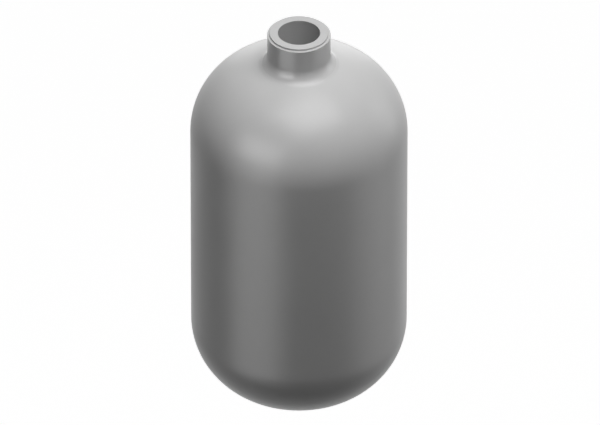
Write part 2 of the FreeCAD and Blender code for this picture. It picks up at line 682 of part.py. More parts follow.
# Gasket that shuts on the end of the barrel, and the cup that holds it on the pin
def build_core_cup():
    revolved_body("core_cup_gasket", [
        ("Places.pin_r", "Places.core_seat_z"),
        ("Places.seat_gasket_r", "Places.core_seat_z"),
        ("Places.seat_gasket_r", "Places.seat_gasket_top_z"),
        ("Places.pin_r", "Places.seat_gasket_top_z"),
    ])
    revolved_body("core_cup", [
        ("Places.pin_r", "Places.seat_gasket_top_z"),
        ("Places.seat_gasket_r", "Places.seat_gasket_top_z"),
        ("Places.seat_gasket_r", "Places.cup_z"),
        ("Places.cup_r", "Places.cup_z"),
        ("Places.cup_r", "Places.cup_top_z"),
        ("Places.pin_r", "Places.cup_top_z"),
    ])


# Screw cap with finger grooves, and the disc that seals it on the barrel's mouth
def build_valve_cap():
    body = revolved_body("valve_cap", [
        ("0", "Places.cap_end_z"),
        ("Places.cap_r", "Places.cap_end_z"),
        ("Places.cap_r", "Places.cap_lip_z"),
        ("Places.cap_bore_r", "Places.cap_lip_z"),
        ("Places.cap_bore_r", "Places.cap_floor_z"),
        ("0", "Places.cap_floor_z"),
    ])
    break_edges(body, "valve_cap_edges", [
        ("Places.cap_r", "Places.cap_end_z"),
        ("Places.cap_r", "Places.cap_lip_z"),
    ])
    before = body.Shape.Volume
    sketch = new_sketch(body, "flute_outline", "XY_Plane")
    at_height(sketch, "Places.cap_end_z")
    centre = Vector(value_of("Places.flute_centre_r"), 0, 0)
    flute = sketch.addGeometry(Part.Circle(centre, Vector(0, 0, 1), value_of("Places.flute_r")), False)
    sketch.addConstraint(Sketcher.Constraint("PointOnObject", flute, 3, -1))
    rule = sketch.addConstraint(Sketcher.Constraint("DistanceX", -1, 1, flute, 3, centre.x))
    sketch.renameConstraint(rule, "centre")
    bind(sketch, "Constraints.centre", "Places.flute_centre_r")
    rule = sketch.addConstraint(Sketcher.Constraint("Radius", flute, value_of("Places.flute_r")))
    sketch.renameConstraint(rule, "flute")
    bind(sketch, "Constraints.flute", "Places.flute_r")
    groove = body.newObject("PartDesign::Pocket", "flute")
    groove.Profile = (sketch, [""])
    bind(groove, "Length", "Sizes.flute_length")
    groove.Reversed = True
    body.Tip = groove
    before = volume_drop(body, before)
    ring = body.newObject("PartDesign::PolarPattern", "flutes")
    ring.Originals = [groove]
    ring.Axis = (origin_item(body, "Z_Axis"), [""])
    ring.Angle = 360
    bind(ring, "Occurrences", "Sizes.flute_count")
    body.Tip = ring
    volume_drop(body, before)


def build_cap_gasket():
    revolved_body("cap_gasket", [
        ("0", "Places.cap_floor_z"),
        ("Places.cap_gasket_r", "Places.cap_floor_z"),
        ("Places.cap_gasket_r", "Places.cap_gasket_top_z"),
        ("0", "Places.cap_gasket_top_z"),
    ])


build_upper_shell()
build_lower_shell()
build_port_neck()
build_port_seal()
build_liner()
build_backing_hoop()
build_diaphragm()
build_clamp_ring()
build_valve_boss()
build_valve_washer()
build_valve_body()
build_core_plug()
build_core_barrel()
build_core_gasket()
build_core_pin()
build_core_spring()
build_core_cup()
build_valve_cap()
build_cap_gasket()
doc.recompute()

# Nothing is written unless every object came out sound
for item in doc.Objects:
    if "Invalid" in item.State or "Error" in item.State:
        raise RuntimeError(f"{item.Label} failed: {item.State}")
for piece in parts:
    if piece.Shape.isNull() or not piece.Shape.isValid():
        raise RuntimeError(f"{piece.Label} has no sound shape")
    if len(piece.Shape.Solids) != 1:
        raise RuntimeError(f"{piece.Label} is not one solid")

os.makedirs("parts", exist_ok=True)
for piece in parts:
    piece.Shape.exportStep(f"parts/{piece.Label}.step")
    print(f"{piece.Label}: {piece.Shape.Volume:.2f} mm3")
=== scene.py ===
import math

import bpy
from mathutils import Matrix, Vector


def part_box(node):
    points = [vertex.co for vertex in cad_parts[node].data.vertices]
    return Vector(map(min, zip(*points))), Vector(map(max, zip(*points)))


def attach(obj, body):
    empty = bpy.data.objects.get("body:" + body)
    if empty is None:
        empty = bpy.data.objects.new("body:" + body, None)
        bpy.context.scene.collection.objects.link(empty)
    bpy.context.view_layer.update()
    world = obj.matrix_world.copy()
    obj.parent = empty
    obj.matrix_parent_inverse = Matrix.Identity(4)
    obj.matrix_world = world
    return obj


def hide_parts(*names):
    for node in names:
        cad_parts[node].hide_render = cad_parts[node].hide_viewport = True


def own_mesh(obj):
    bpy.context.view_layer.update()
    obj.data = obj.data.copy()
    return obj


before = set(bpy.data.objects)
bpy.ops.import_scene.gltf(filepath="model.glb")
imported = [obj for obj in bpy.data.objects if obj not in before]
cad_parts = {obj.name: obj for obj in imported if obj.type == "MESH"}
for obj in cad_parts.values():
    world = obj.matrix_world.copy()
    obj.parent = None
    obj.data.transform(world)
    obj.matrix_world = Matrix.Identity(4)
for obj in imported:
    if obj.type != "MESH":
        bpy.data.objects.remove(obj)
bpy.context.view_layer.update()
print("frame loaded:", len(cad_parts), "nodes")


meshing = {
    "samePoint": 0.000002,     # drawn points nearer than this are one
    "sameCorner": 0.000001,    # the same for a wound thread and a copied CAD mesh
    "flatAngle": 0.4,          # degrees; faces that meet flatter than this become one
    "smoothAngle": 28,         # degrees; sharper edges stay sharp
}


def deselectAll():
    if bpy.context.object and bpy.context.object.mode != "OBJECT":
        bpy.ops.object.mode_set(mode="OBJECT")
    bpy.ops.object.select_all(action="DESELECT")


# the operators that follow act on this piece alone
def selectOnly(piece):
    deselectAll()
    piece.select_set(True)
    bpy.context.view_layer.objects.active = piece


# edit mode, with the whole mesh selected
def selectWhole():
    bpy.ops.object.mode_set(mode="EDIT")
    bpy.ops.mesh.select_all(action="SELECT")


# edit mode, with only the vertices selected whose place is wanted
def pickVertices(piece, wanted):
    bpy.ops.object.mode_set(mode="EDIT")
    bpy.ops.mesh.select_all(action="DESELECT")
    bpy.ops.object.mode_set(mode="OBJECT")
    for vertex in piece.data.vertices:
        vertex.select = wanted(vertex.co)
    bpy.ops.object.mode_set(mode="EDIT")


# what is selected is scaled about the Z axis and keeps its height
def scaleRound(ratio):
    bpy.ops.transform.resize(value=(ratio, ratio, 1), center_override=(0, 0, 0))


def extrudeUp(rise):
    bpy.ops.mesh.extrude_region_move(TRANSFORM_OT_translate={"value": (0, 0, rise)})


# leaves edit mode; round faces shade round, and sharp edges stay sharp
def smoothFaces():
    bpy.ops.object.mode_set(mode="OBJECT")
    bpy.ops.object.shade_smooth_by_angle(angle=math.radians(meshing["smoothAngle"]))


# every face points outwards; leaves edit mode
def turnOutwards():
    selectWhole()
    bpy.ops.mesh.normals_make_consistent(inside=False)
    smoothFaces()


def at(x, z):
    return Vector((x, 0, z))


# points of an arc in the XZ plane, from one angle to another, both ends included
def arcPoints(centreX, centreZ, radius, fromAngle, toAngle, steps):
    points = []
    for i in range(steps + 1):
        angle = fromAngle + (toAngle - fromAngle) * i / steps
        points.append(at(centreX + radius * math.cos(angle), centreZ + radius * math.sin(angle)))
    return points


# a plane merged to one point, which is extruded along a closed outline; stays in edit mode
def drawOutline(name, outline):
    deselectAll()
    bpy.ops.mesh.primitive_plane_add(size=0.01, location=(0, 0, 0))
    piece = bpy.context.object
    piece.name = name
    piece.data.name = name
    selectWhole()
    bpy.ops.mesh.merge(type="CENTER")
    bpy.ops.transform.translate(value=outline[0])
    route = outline + [outline[0]]
    for here, there in zip(route, route[1:]):
        bpy.ops.mesh.extrude_region_move(TRANSFORM_OT_translate={"value": there - here})
    bpy.ops.mesh.select_all(action="SELECT")
    bpy.ops.mesh.remove_doubles(threshold=meshing["samePoint"])
    return piece


# the outline spun round the Z axis into a closed solid
def spinOutline(name, outline, segments):
    piece = drawOutline(name, outline)
    bpy.ops.mesh.spin(steps=segments, angle=2 * math.pi, center=(0, 0, 0), axis=(0, 0, 1))
    bpy.ops.mesh.select_all(action="SELECT")
    bpy.ops.mesh.remove_doubles(threshold=meshing["samePoint"])
    turnOutwards()
    return piece


# the outline wound up the Z axis as a right-hand thread, its two ends closed
def windOutline(name, outline, pitch, turns, stepsPerTurn):
    piece = drawOutline(name, outline)
    bpy.ops.object.mode_set(mode="OBJECT")
    screw = piece.modifiers.new("thread", "SCREW")
    screw.axis = "Z"
    screw.screw_offset = pitch
    screw.iterations = turns
    screw.steps = stepsPerTurn
    screw.render_steps = stepsPerTurn
    bpy.ops.object.modifier_apply(modifier="thread")
    selectWhole()
    bpy.ops.mesh.remove_doubles(threshold=meshing["sameCorner"])
    bpy.ops.mesh.fill_holes(sides=len(outline))
    turnOutwards()
    return piece


# a copy of a CAD node's mesh with its loose triangles merged, so that round faces shade round
def mergedCopy(name, node):
    piece = bpy.data.objects.new(name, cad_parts[node].data.copy())
    piece.data.name = name
    bpy.context.scene.collection.objects.link(piece)
    selectOnly(piece)
    selectWhole()
    bpy.ops.mesh.remove_doubles(threshold=meshing["sameCorner"])
    bpy.ops.mesh.dissolve_limited(angle_limit=math.radians(meshing["flatAngle"]), delimit=set())
    smoothFaces()
    return piece


# flat faces shade flat up to their edges, whatever small faces meet them there
def weighNormals(piece):
    selectOnly(piece)
    evening = piece.modifiers.new("evening", "WEIGHTED_NORMAL")
    evening.mode = "FACE_AREA"
    evening.keep_sharp = True
    bpy.ops.object.modifier_apply(modifier="evening")


# the piece moves with its body and stands for its CAD node
def finishPiece(piece, body, node, material):
    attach(piece, body)
    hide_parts(node)
    piece.data.materials.clear()
    piece.data.materials.append(material)


noise = {
    "cloudDetail": 3,
    "grainDetail": 2,
    "lowest": 0.35,            # the noise between these two is spread over both tones
    "highest": 0.65,
}


# an effect with a tone, which picks colour and roughness, and a height, which gives the bump
def newEffect(name, values):
    group = bpy.data.node_groups.new(name, "ShaderNodeTree")
    for label, value in values.items():
        socket = group.interface.new_socket(name=label, in_out="INPUT",
                                            socket_type="NodeSocketFloat")
        socket.default_value = value
    group.interface.new_socket(name="Place", in_out="INPUT", socket_type="NodeSocketVector")
    group.interface.new_socket(name="Tone", in_out="OUTPUT", socket_type="NodeSocketFloat")
    group.interface.new_socket(name="Height", in_out="OUTPUT", socket_type="NodeSocketFloat")
    given, result = group.nodes.new("NodeGroupInput"), group.nodes.new("NodeGroupOutput")
    return group, given.outputs, result.inputs


def addNoise(group, place, scale, detail):
    speckle = group.nodes.new("ShaderNodeTexNoise")
    speckle.inputs["Detail"].default_value = detail
    group.links.new(place, speckle.inputs["Vector"])
    group.links.new(scale, speckle.inputs["Scale"])
    return speckle.outputs["Fac"]


def mixTones(group, share, first, second):
    tone = group.nodes.new("ShaderNodeMix")
    group.links.new(share, tone.inputs["Factor"])
    group.links.new(first, tone.inputs["A"])
    group.links.new(second, tone.inputs["B"])
    return tone.outputs["Result"]


# how far a place is from the Z axis, and its height
def turnedPlace(tree, place):
    nodes, links = tree.nodes, tree.links
    split = nodes.new("ShaderNodeSeparateXYZ")
    links.new(place, split.inputs[0])
    flat = nodes.new("ShaderNodeCombineXYZ")
    links.new(split.outputs["X"], flat.inputs["X"])
    links.new(split.outputs["Y"], flat.inputs["Y"])
    distance = nodes.new("ShaderNodeVectorMath")
    distance.operation = "LENGTH"
    links.new(flat.outputs[0], distance.inputs[0])
    return distance.outputs["Value"], split.outputs["Z"]


# clouds of slightly different tone over a fine grain, for sprayed, moulded and rubber surfaces
def makeGrainEffect():
    values = {"Cloud Scale": 20, "Grain Scale": 900, "Grain Share": 0.3}
    group, given, result = newEffect("surfaceGrain", values)
    clouds = addNoise(group, given["Place"], given["Cloud Scale"], noise["cloudDetail"])
    grain = addNoise(group, given["Place"], given["Grain Scale"], noise["grainDetail"])
    group.links.new(mixTones(group, given["Grain Share"], clouds, grain), result["Tone"])
    group.links.new(grain, result["Height"])
    return group


# rings left by a lathe: one value along each circle round the Z axis, with faint clouds
def makeRingsEffect():
    values = {"Ring Scale": 2500, "Cloud Scale": 80, "Cloud Share": 0.3}
    group, given, result = newEffect("turnedRings", values)
    distance, height = turnedPlace(group, given["Place"])
    ringPlace = group.nodes.new("ShaderNodeCombineXYZ")
    group.links.new(distance, ringPlace.inputs["X"])
    group.links.new(height, ringPlace.inputs["Z"])
    rings = addNoise(group, ringPlace.outputs[0], given["Ring Scale"], noise["grainDetail"])
    clouds = addNoise(group, given["Place"], given["Cloud Scale"], noise["cloudDetail"])
    group.links.new(mixTones(group, given["Cloud Share"], rings, clouds), result["Tone"])
    group.links.new(rings, result["Height"])
    return group


surfaceGrain = makeGrainEffect()
turnedRings = makeRingsEffect()


def newMaterial(name):
    material = bpy.data.materials.new(name)
    material.use_nodes = True
    return material, material.node_tree, material.node_tree.nodes["Principled BSDF"]


def makeFinish(name, look):
    material, tree, shader = newMaterial(name)
    nodes, links = tree.nodes, tree.links
    place = nodes.new("ShaderNodeTexCoord")
    skin = nodes.new("ShaderNodeGroup")
    skin.node_tree = look["skin"]
    links.new(place.outputs["Object"], skin.inputs["Place"])
    for label, value in look["skinValues"].items():
        skin.inputs[label].default_value = value
    spread = nodes.new("ShaderNodeMapRange")
    spread.inputs["From Min"].default_value = noise["lowest"]
    spread.inputs["From Max"].default_value = noise["highest"]
    links.new(skin.outputs["Tone"], spread.inputs["Value"])
    colour = nodes.new("ShaderNodeMix")
    colour.data_type = "RGBA"
    colour.inputs["A"].default_value = look["darker"] + (1,)
    colour.inputs["B"].default_value = look["lighter"] + (1,)
    links.new(spread.outputs["Result"], colour.inputs["Factor"])
    links.new(colour.outputs["Result"], shader.inputs["Base Color"])
    gloss = nodes.new("ShaderNodeMapRange")
    gloss.inputs["To Min"].default_value, gloss.inputs["To Max"].default_value = look["roughness"]
    links.new(spread.outputs["Result"], gloss.inputs["Value"])
    links.new(gloss.outputs["Result"], shader.inputs["Roughness"])
    bump = nodes.new("ShaderNodeBump")
    bump.inputs["Distance"].default_value = look["relief"]
    links.new(skin.outputs["Height"], bump.inputs["Height"])
    links.new(bump.outputs["Normal"], shader.inputs["Normal"])
    shader.inputs["Metallic"].default_value = look["metallic"]
    shader.inputs["Specular IOR Level"].default_value = look["specular"]
    return material


def grey(value):
    return (value, value, value)


enamel = {
    "skin": surfaceGrain,
    "skinValues": {"Cloud Scale": 24, "Grain Scale": 1100, "Grain Share": 0.2},
    "darker": grey(0.49), "lighter": grey(0.515),
    "roughness": (0.34, 0.38), "relief": 0.000005, "metallic": 0, "specular": 0.35,
}
finishes = {
    "satinEnamel": enamel,
    "neckEnamel": enamel,
    "blackRubber": {
        "skin": surfaceGrain,
        "skinValues": {"Cloud Scale": 45, "Grain Scale": 2600, "Grain Share": 0.4},
        "darker": grey(0.018), "lighter": grey(0.034),
        "roughness": (0.55, 0.72), "relief": 0.00002, "metallic": 0, "specular": 0.4,
    },
    "sealRubber": {
        "skin": surfaceGrain,
        "skinValues": {"Cloud Scale": 160, "Grain Scale": 5200, "Grain Share": 0.4},
        "darker": grey(0.03), "lighter": grey(0.055),
        "roughness": (0.5, 0.65), "relief": 0.000012, "metallic": 0, "specular": 0.4,
    },
    "linerPlastic": {
        "skin": surfaceGrain,
        "skinValues": {"Cloud Scale": 30, "Grain Scale": 1800, "Grain Share": 0.3},
        "darker": (0.62, 0.61, 0.56), "lighter": (0.72, 0.71, 0.66),
        "roughness": (0.38, 0.5), "relief": 0.00001, "metallic": 0, "specular": 0.5,
    },
    "bandSteel": {
        "skin": surfaceGrain,
        "skinValues": {"Cloud Scale": 70, "Grain Scale": 2400, "Grain Share": 0.5},
        "darker": grey(0.46), "lighter": grey(0.58),
        "roughness": (0.32, 0.46), "relief": 0.000006, "metallic": 1, "specular": 0.5,
    },
    "bossSteel": {
        "skin": turnedRings,
        "skinValues": {"Ring Scale": 5200, "Cloud Scale": 240, "Cloud Share": 0.4},
        "darker": grey(0.42), "lighter": grey(0.56),
        "roughness": (0.26, 0.42), "relief": 0.000008, "metallic": 1, "specular": 0.5,
    },
    "valveBrass": {
        "skin": turnedRings,
        "skinValues": {"Ring Scale": 6800, "Cloud Scale": 300, "Cloud Share": 0.4},
        "darker": (0.60, 0.42, 0.17), "lighter": (0.76, 0.57, 0.27),
        "roughness": (0.2, 0.36), "relief": 0.000007, "metallic": 1, "specular": 0.5,
    },
    "pinSteel": {
        "skin": turnedRings,
        "skinValues": {"Ring Scale": 9000, "Cloud Scale": 500, "Cloud Share": 0.3},
        "darker": grey(0.5), "lighter": grey(0.64),
        "roughness": (0.2, 0.32), "relief": 0.000003, "metallic": 1, "specular": 0.5,
    },
    "capPlastic": {
        "skin": surfaceGrain,
        "skinValues": {"Cloud Scale": 240, "Grain Scale": 6400, "Grain Share": 0.4},
        "darker": grey(0.022), "lighter": grey(0.036),
        "roughness": (0.36, 0.48), "relief": 0.000009, "metallic": 0, "specular": 0.5,
    },
}
materials = {name: makeFinish(name, look) for name, look in finishes.items()}

collar = {
    "radius": 0.019,
    "fadesOutAt": 0.026,
    "roughnessShare": 0.66,    # of the shell's roughness
}


# the same enamel lies smoother on the turned collar than on the drawn shell round it
def smoothCollar(material):
    nodes, links = material.node_tree.nodes, material.node_tree.links
    shader = nodes["Principled BSDF"]
    drawn = shader.inputs["Roughness"].links[0].from_socket
    place = nodes["Texture Coordinate"].outputs["Object"]
    distance = turnedPlace(material.node_tree, place)[0]
    share = nodes.new("ShaderNodeMapRange")
    share.interpolation_type = "SMOOTHSTEP"
    share.inputs["From Min"].default_value = collar["radius"]
    share.inputs["From Max"].default_value = collar["fadesOutAt"]
    share.inputs["To Min"].default_value = collar["roughnessShare"]
    share.inputs["To Max"].default_value = 1
    links.new(distance, share.inputs["Value"])
    turned = nodes.new("ShaderNodeMath")
    turned.operation = "MULTIPLY"
    links.new(drawn, turned.inputs[0])
    links.new(share.outputs["Result"], turned.inputs[1])
    links.new(turned.outputs[0], shader.inputs["Roughness"])


smoothCollar(materials["neckEnamel"])
print("finishes made:", len(materials))


vessel = {
    "radius": 0.0625,
    "wall": 0.0015,
    "knuckle": 0.046,          # outside radius where a dished end turns in
    "crown": 0.085,            # outside radius of the middle of a dished end
    "faceAboveKnuckle": 0.0685,
    "footRadius": 0.027,       # opening in the upper shell for the port neck
    "bossHoleRadius": 0.00805,
    "segments": 224,
    "crownSteps": 12,
    "knuckleSteps": 26,
}
knuckleOffset = vessel["radius"] - vessel["knuckle"]
crownSpan = vessel["crown"] - vessel["knuckle"]
crownDrop = math.sqrt(crownSpan ** 2 - knuckleOffset ** 2)
junctionAngle = math.atan2(crownDrop, knuckleOffset)
upperKnuckleZ = -vessel["faceAboveKnuckle"]
upperCentreZ = upperKnuckleZ - crownDrop
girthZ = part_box("upper_shell")[0].z
lowerKnuckleZ = 2 * girthZ - upperKnuckleZ
lowerCentreZ = lowerKnuckleZ + crownDrop


# one side of a dished end and its cylinder; up is 1 for the top end, -1 for the bottom
def dishedEnd(openingRadius, inset, up, endZ):
    centreZ, knuckleZ = (upperCentreZ, upperKnuckleZ) if up > 0 else (lowerCentreZ, lowerKnuckleZ)
    crown = vessel["crown"] - inset
    openingAngle = math.acos(openingRadius / crown)
    side = arcPoints(0, centreZ, crown, up * openingAngle, up * junctionAngle, vessel["crownSteps"])
    side += arcPoints(knuckleOffset, knuckleZ, vessel["knuckle"] - inset, up * junctionAngle, 0,
                      vessel["knuckleSteps"])[1:]
    side.append(at(vessel["radius"] - inset, endZ))
    return side


def makeShells():
    for name, node, opening, up in (("upperShell", "upper_shell", vessel["footRadius"], 1),
                                    ("lowerShell", "lower_shell", vessel["bossHoleRadius"], -1)):
        outline = dishedEnd(opening, 0, up, girthZ)
        outline += reversed(dishedEnd(opening, vessel["wall"], up, girthZ))
        shell = spinOutline(name, outline, vessel["segments"])
        finishPiece(shell, "tank", node, materials["satinEnamel"])


port = {
    "boreRadius": 0.01206,
    "faceRadius": 0.0168,
    "faceHeight": 0.0012,
    "collarRadius": 0.0182,
    "rootRadius": 0.008,       # fillet from the collar to the dished end
    "faceEdge": 0.00012,
    "collarEdge": 0.0002,
    "mouthEdge": 0.00015,
    "undersideRadii": (0.024, 0.021, 0.0185),
    "sealRadius": 0.0156,      # middle of the groove for the seal ring
    "grooveHalfWidth": 0.0013,
    "grooveTopZ": -0.0193875,
    "segments": 160,
    "rootSteps": 20,
    "footSteps": 3,
}


def makePortNeck():
    crown = vessel["crown"]
    inner = crown - vessel["wall"]
    rootCentreX = port["collarRadius"] + port["rootRadius"]
    rootRise = math.sqrt((crown + port["rootRadius"]) ** 2 - rootCentreX ** 2)
    toeAngle = math.atan2(rootRise, rootCentreX)
    faceEdge, collarEdge = port["faceEdge"], port["collarEdge"]
    shoulderZ = -port["faceHeight"]

    def underside(radius):
        return at(radius, upperCentreZ + math.sqrt(inner ** 2 - radius ** 2))

    outline = [
        at(port["boreRadius"], -port["mouthEdge"]),
        at(port["boreRadius"] + port["mouthEdge"], 0),
        at(port["faceRadius"] - faceEdge, 0),
        at(port["faceRadius"], -faceEdge),
        at(port["faceRadius"], shoulderZ),
        at(port["collarRadius"] - collarEdge, shoulderZ),
        at(port["collarRadius"], shoulderZ - collarEdge),
    ]
    outline += arcPoints(rootCentreX, upperCentreZ + rootRise, port["rootRadius"],
                         math.pi, math.pi + toeAngle, port["rootSteps"])
    footAngle = math.acos(vessel["footRadius"] / crown)
    outline += arcPoints(0, upperCentreZ, crown, toeAngle, footAngle, port["footSteps"])[1:]
    outline += [underside(radius) for radius in (vessel["footRadius"],) + port["undersideRadii"]]
    grooveOuter = port["sealRadius"] + port["grooveHalfWidth"]
    grooveInner = port["sealRadius"] - port["grooveHalfWidth"]
    outline += [
        underside(grooveOuter),
        at(grooveOuter, port["grooveTopZ"]),
        at(grooveInner, port["grooveTopZ"]),
        underside(grooveInner),
        underside(port["boreRadius"]),
    ]
    neck = spinOutline("portNeck", outline, port["segments"])
    finishPiece(neck, "tank", "port_neck", materials["neckEnamel"])


liner = {
    "outerInset": 0.0016,      # from the outside of the shell
    "innerInset": 0.0031,
    "holeRadius": 0.0132,
    "footRadius": 0.0549,
    "footZ": -0.1185,
    "footHeight": 0.0015,
    "segments": 144,
}


def makeLiner():
    footTop = liner["footZ"] + liner["footHeight"]
    outline = dishedEnd(liner["holeRadius"], liner["outerInset"], 1, liner["footZ"])
    outline += [at(liner["footRadius"], liner["footZ"]), at(liner["footRadius"], footTop)]
    outline += reversed(dishedEnd(liner["holeRadius"], liner["innerInset"], 1, footTop))
    piece = spinOutline("linerMoulding", outline, liner["segments"])
    finishPiece(piece, "tank", "water_liner", materials["linerPlastic"])


cup = {
    "rimRadius": 0.05935,
    "wall": 0.002,
    "beadTopZ": -0.11855,
    "beadHeight": 0.005,
    "beadInnerRadius": 0.05485,
    "beadRound": 0.0008,
    "skirtZ": -0.1435,
    "knuckle": 0.034,
    "crown": 0.08,
    "poleAngle": 0.03,         # from the axis to the first point beside it
    "segments": 144,
    "crownSteps": 12,
    "knuckleSteps": 20,
    "beadSteps": 5,
}


# the moulded rubber cup, its bead rounded on the inner side
def makeDiaphragm():
    offset = cup["rimRadius"] - cup["knuckle"]
    span = cup["crown"] - cup["knuckle"]
    rise = math.sqrt(span ** 2 - offset ** 2)
    turnAngle = math.atan2(rise, offset)
    centreZ = cup["skirtZ"] + rise
    beadBottomZ = cup["beadTopZ"] - cup["beadHeight"]
    soft, steps = cup["beadRound"], cup["beadSteps"]

    def cupSide(inset):
        side = [at(0, centreZ - cup["crown"] + inset)]
        side += arcPoints(0, centreZ, cup["crown"] - inset, -math.pi / 2 + cup["poleAngle"],
                          -turnAngle, cup["crownSteps"])
        side += arcPoints(offset, cup["skirtZ"], cup["knuckle"] - inset, -turnAngle, 0,
                          cup["knuckleSteps"])[1:]
        return side

    outline = cupSide(0) + [at(cup["rimRadius"], cup["beadTopZ"])]
    innerX = cup["beadInnerRadius"] + soft
    outline += arcPoints(innerX, cup["beadTopZ"] - soft, soft, math.pi / 2, math.pi, steps)
    outline += arcPoints(innerX, beadBottomZ + soft, soft, math.pi, 1.5 * math.pi, steps)
    outline.append(at(cup["rimRadius"] - cup["wall"], beadBottomZ))
    outline += reversed(cupSide(cup["wall"]))
    piece = spinOutline("diaphragmCup", outline, cup["segments"])
    finishPiece(piece, "tank", "diaphragm", materials["blackRubber"])


barrelThread = {
    "crestRadius": 0.00385,
    "rootRadius": 0.00345,
    "drawnFrom": 0.0034,       # the barrel's wall, but not its bore, is outside this radius
    "sunkBy": 0.00005,         # foot of the thread inside the barrel's wall
    "pitch": 0.000794,
    "turns": 7,
    "startZ": -0.25945,
    "crestWidth": 0.0001,
    "rootWidth": 0.00062,
    "stepsPerTurn": 48,
}


# the valve's barrel is drawn in to the thread's root, and the thread is wound round it
def makeValveBody():
    body = mergedCopy("valveBody", "valve_body")
    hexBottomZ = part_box("valve_cap")[1].z
    pickVertices(body, lambda place: place.z < hexBottomZ
                 and place.xy.length > barrelThread["drawnFrom"])
    scaleRound(barrelThread["rootRadius"] / barrelThread["crestRadius"])
    smoothFaces()
    inside = barrelThread["rootRadius"] - barrelThread["sunkBy"]
    halfRoot, halfCrest = barrelThread["rootWidth"] / 2, barrelThread["crestWidth"] / 2
    startZ = barrelThread["startZ"]
    thread = windOutline("barrelThread", [
        at(inside, startZ - halfRoot),
        at(barrelThread["crestRadius"], startZ - halfCrest),
        at(barrelThread["crestRadius"], startZ + halfCrest),
        at(inside, startZ + halfRoot),
    ], barrelThread["pitch"], barrelThread["turns"], barrelThread["stepsPerTurn"])
    selectOnly(body)
    thread.select_set(True)
    bpy.ops.object.join()
    weighNormals(body)
    finishPiece(body, "tank", "valve_body", materials["valveBrass"])


cap = {
    "radius": 0.0049,
    "boreRadius": 0.00395,
    "endWall": 0.001,
    "edge": 0.00025,
    "grooves": 12,
    "grooveRadius": 0.0006,
    "grooveCentre": 0.0051,    # from the cap's axis
    "grooveLength": 0.0055,
    "grooveRunout": 0.0002,    # slope at the upper end of a groove
    "grooveSteps": 8,
    "landSteps": 4,
    "edgeSegments": 2,
    "levelWithin": 0.00001,    # points this near to a height are at it
    "depthWithin": 0.0000002,  # and this near to a distance from the axis
    "depthDigits": 7,
}


# one groove of the cap's outline and the land that follows it, repeated all round
def capOutline(endZ):
    radius, centre, hollow = cap["radius"], cap["grooveCentre"], cap["grooveRadius"]
    crossX = (centre ** 2 + radius ** 2 - hollow ** 2) / (2 * centre)
    crossY = math.sqrt(radius ** 2 - crossX ** 2)
    opening = math.atan2(crossY, crossX - centre)
    halfWidth = math.atan2(crossY, crossX)
    pitch = 2 * math.pi / cap["grooves"]
    part = arcPoints(centre, 0, hollow, 2 * math.pi - opening, opening, cap["grooveSteps"])
    part += arcPoints(0, 0, radius, halfWidth, pitch - halfWidth, cap["landSteps"])[1:-1]
    outline = []
    for i in range(cap["grooves"]):
        turn = Matrix.Rotation(i * pitch, 3, "Z")
        outline += [turn @ Vector((point.x, point.z, endZ)) for point in part]
    return outline


# the screw cap: finger grooves from its closed end, a plain band above them, and the bore
def makeCap():
    low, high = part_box("valve_cap")
    outline = capOutline(low.z)
    radius, edge = cap["radius"], cap["edge"]
    piece = drawOutline("valveCap", outline)
    bpy.ops.mesh.edge_face_add()
    extrudeUp(cap["grooveLength"] - cap["grooveRunout"])
    extrudeUp(cap["grooveRunout"])
    bandZ = low.z + cap["grooveLength"]
    fromZ = bandZ - cap["levelWithin"]
    for depth in sorted({round(point.xy.length, cap["depthDigits"]) for point in outline}):
        pickVertices(piece, lambda place: place.z > fromZ
                     and abs(place.xy.length - depth) < cap["depthWithin"])
        scaleRound(radius / depth)
    pickVertices(piece, lambda place: place.z > fromZ)
    extrudeUp(high.z - edge - bandZ)
    extrudeUp(edge)
    scaleRound(1 - edge / radius)
    bpy.ops.mesh.inset(thickness=radius - edge - cap["boreRadius"])
    extrudeUp(low.z + cap["endWall"] - high.z)
    pickVertices(piece, lambda place: place.z < low.z + cap["levelWithin"])
    bpy.ops.mesh.bevel(offset=edge, segments=cap["edgeSegments"], affect="EDGES")
    turnOutwards()
    weighNormals(piece)
    finishPiece(piece, "cap", "valve_cap", materials["capPlastic"])


# small parts whose CAD shape is right: body, slot and finish of each
smallParts = {
    "valve_boss": ("tank", "boss_steel", "bossSteel"),
    "valve_washer": ("tank", "washer_rubber", "sealRubber"),
    "core_plug": ("tank", "valve_brass", "valveBrass"),
    "core_barrel": ("tank", "valve_brass", "valveBrass"),
    "core_pin": ("valve_pin", "pin_steel", "pinSteel"),
    "cap_gasket": ("cap", "washer_rubber", "sealRubber"),
}


def makeSmallParts():
    for node, (body, slotName, finish) in smallParts.items():
        words = node.split("_")
        name = words[0] + "".join(word.title() for word in words[1:])
        piece = mergedCopy(name, node)
        weighNormals(piece)
        finishPiece(piece, body, node, materials[finish])


# the spring keeps its inner end on the barrel's ledge while the pin's collar squeezes it
def makeSpring():
    piece = mergedCopy("coreSpring", "core_spring")
    finishPiece(piece, "tank", "core_spring", materials["pinSteel"])
    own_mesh(piece)


# hidden parts keep their CAD mesh and get a finish
hiddenParts = {
    "port_seal_ring": "blackRubber",
    "clamp_ring": "bandSteel",
    "backing_hoop": "bandSteel",
    "core_barrel_gasket": "sealRubber",
    "core_cup": "valveBrass",
    "core_cup_gasket": "sealRubber",
}


def finishHiddenParts():
    for node, finish in hiddenParts.items():
        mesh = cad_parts[node].data
        for index in range(len(mesh.materials)):
            mesh.materials[index] = materials[finish]


makeShells()
print("shells spun")
makePortNeck()
print("port neck spun")
makeLiner()
makeDiaphragm()
print("liner and diaphragm spun")
makeValveBody()
makeCap()
makeSmallParts()
makeSpring()
finishHiddenParts()
print("valve parts and hidden parts finished")


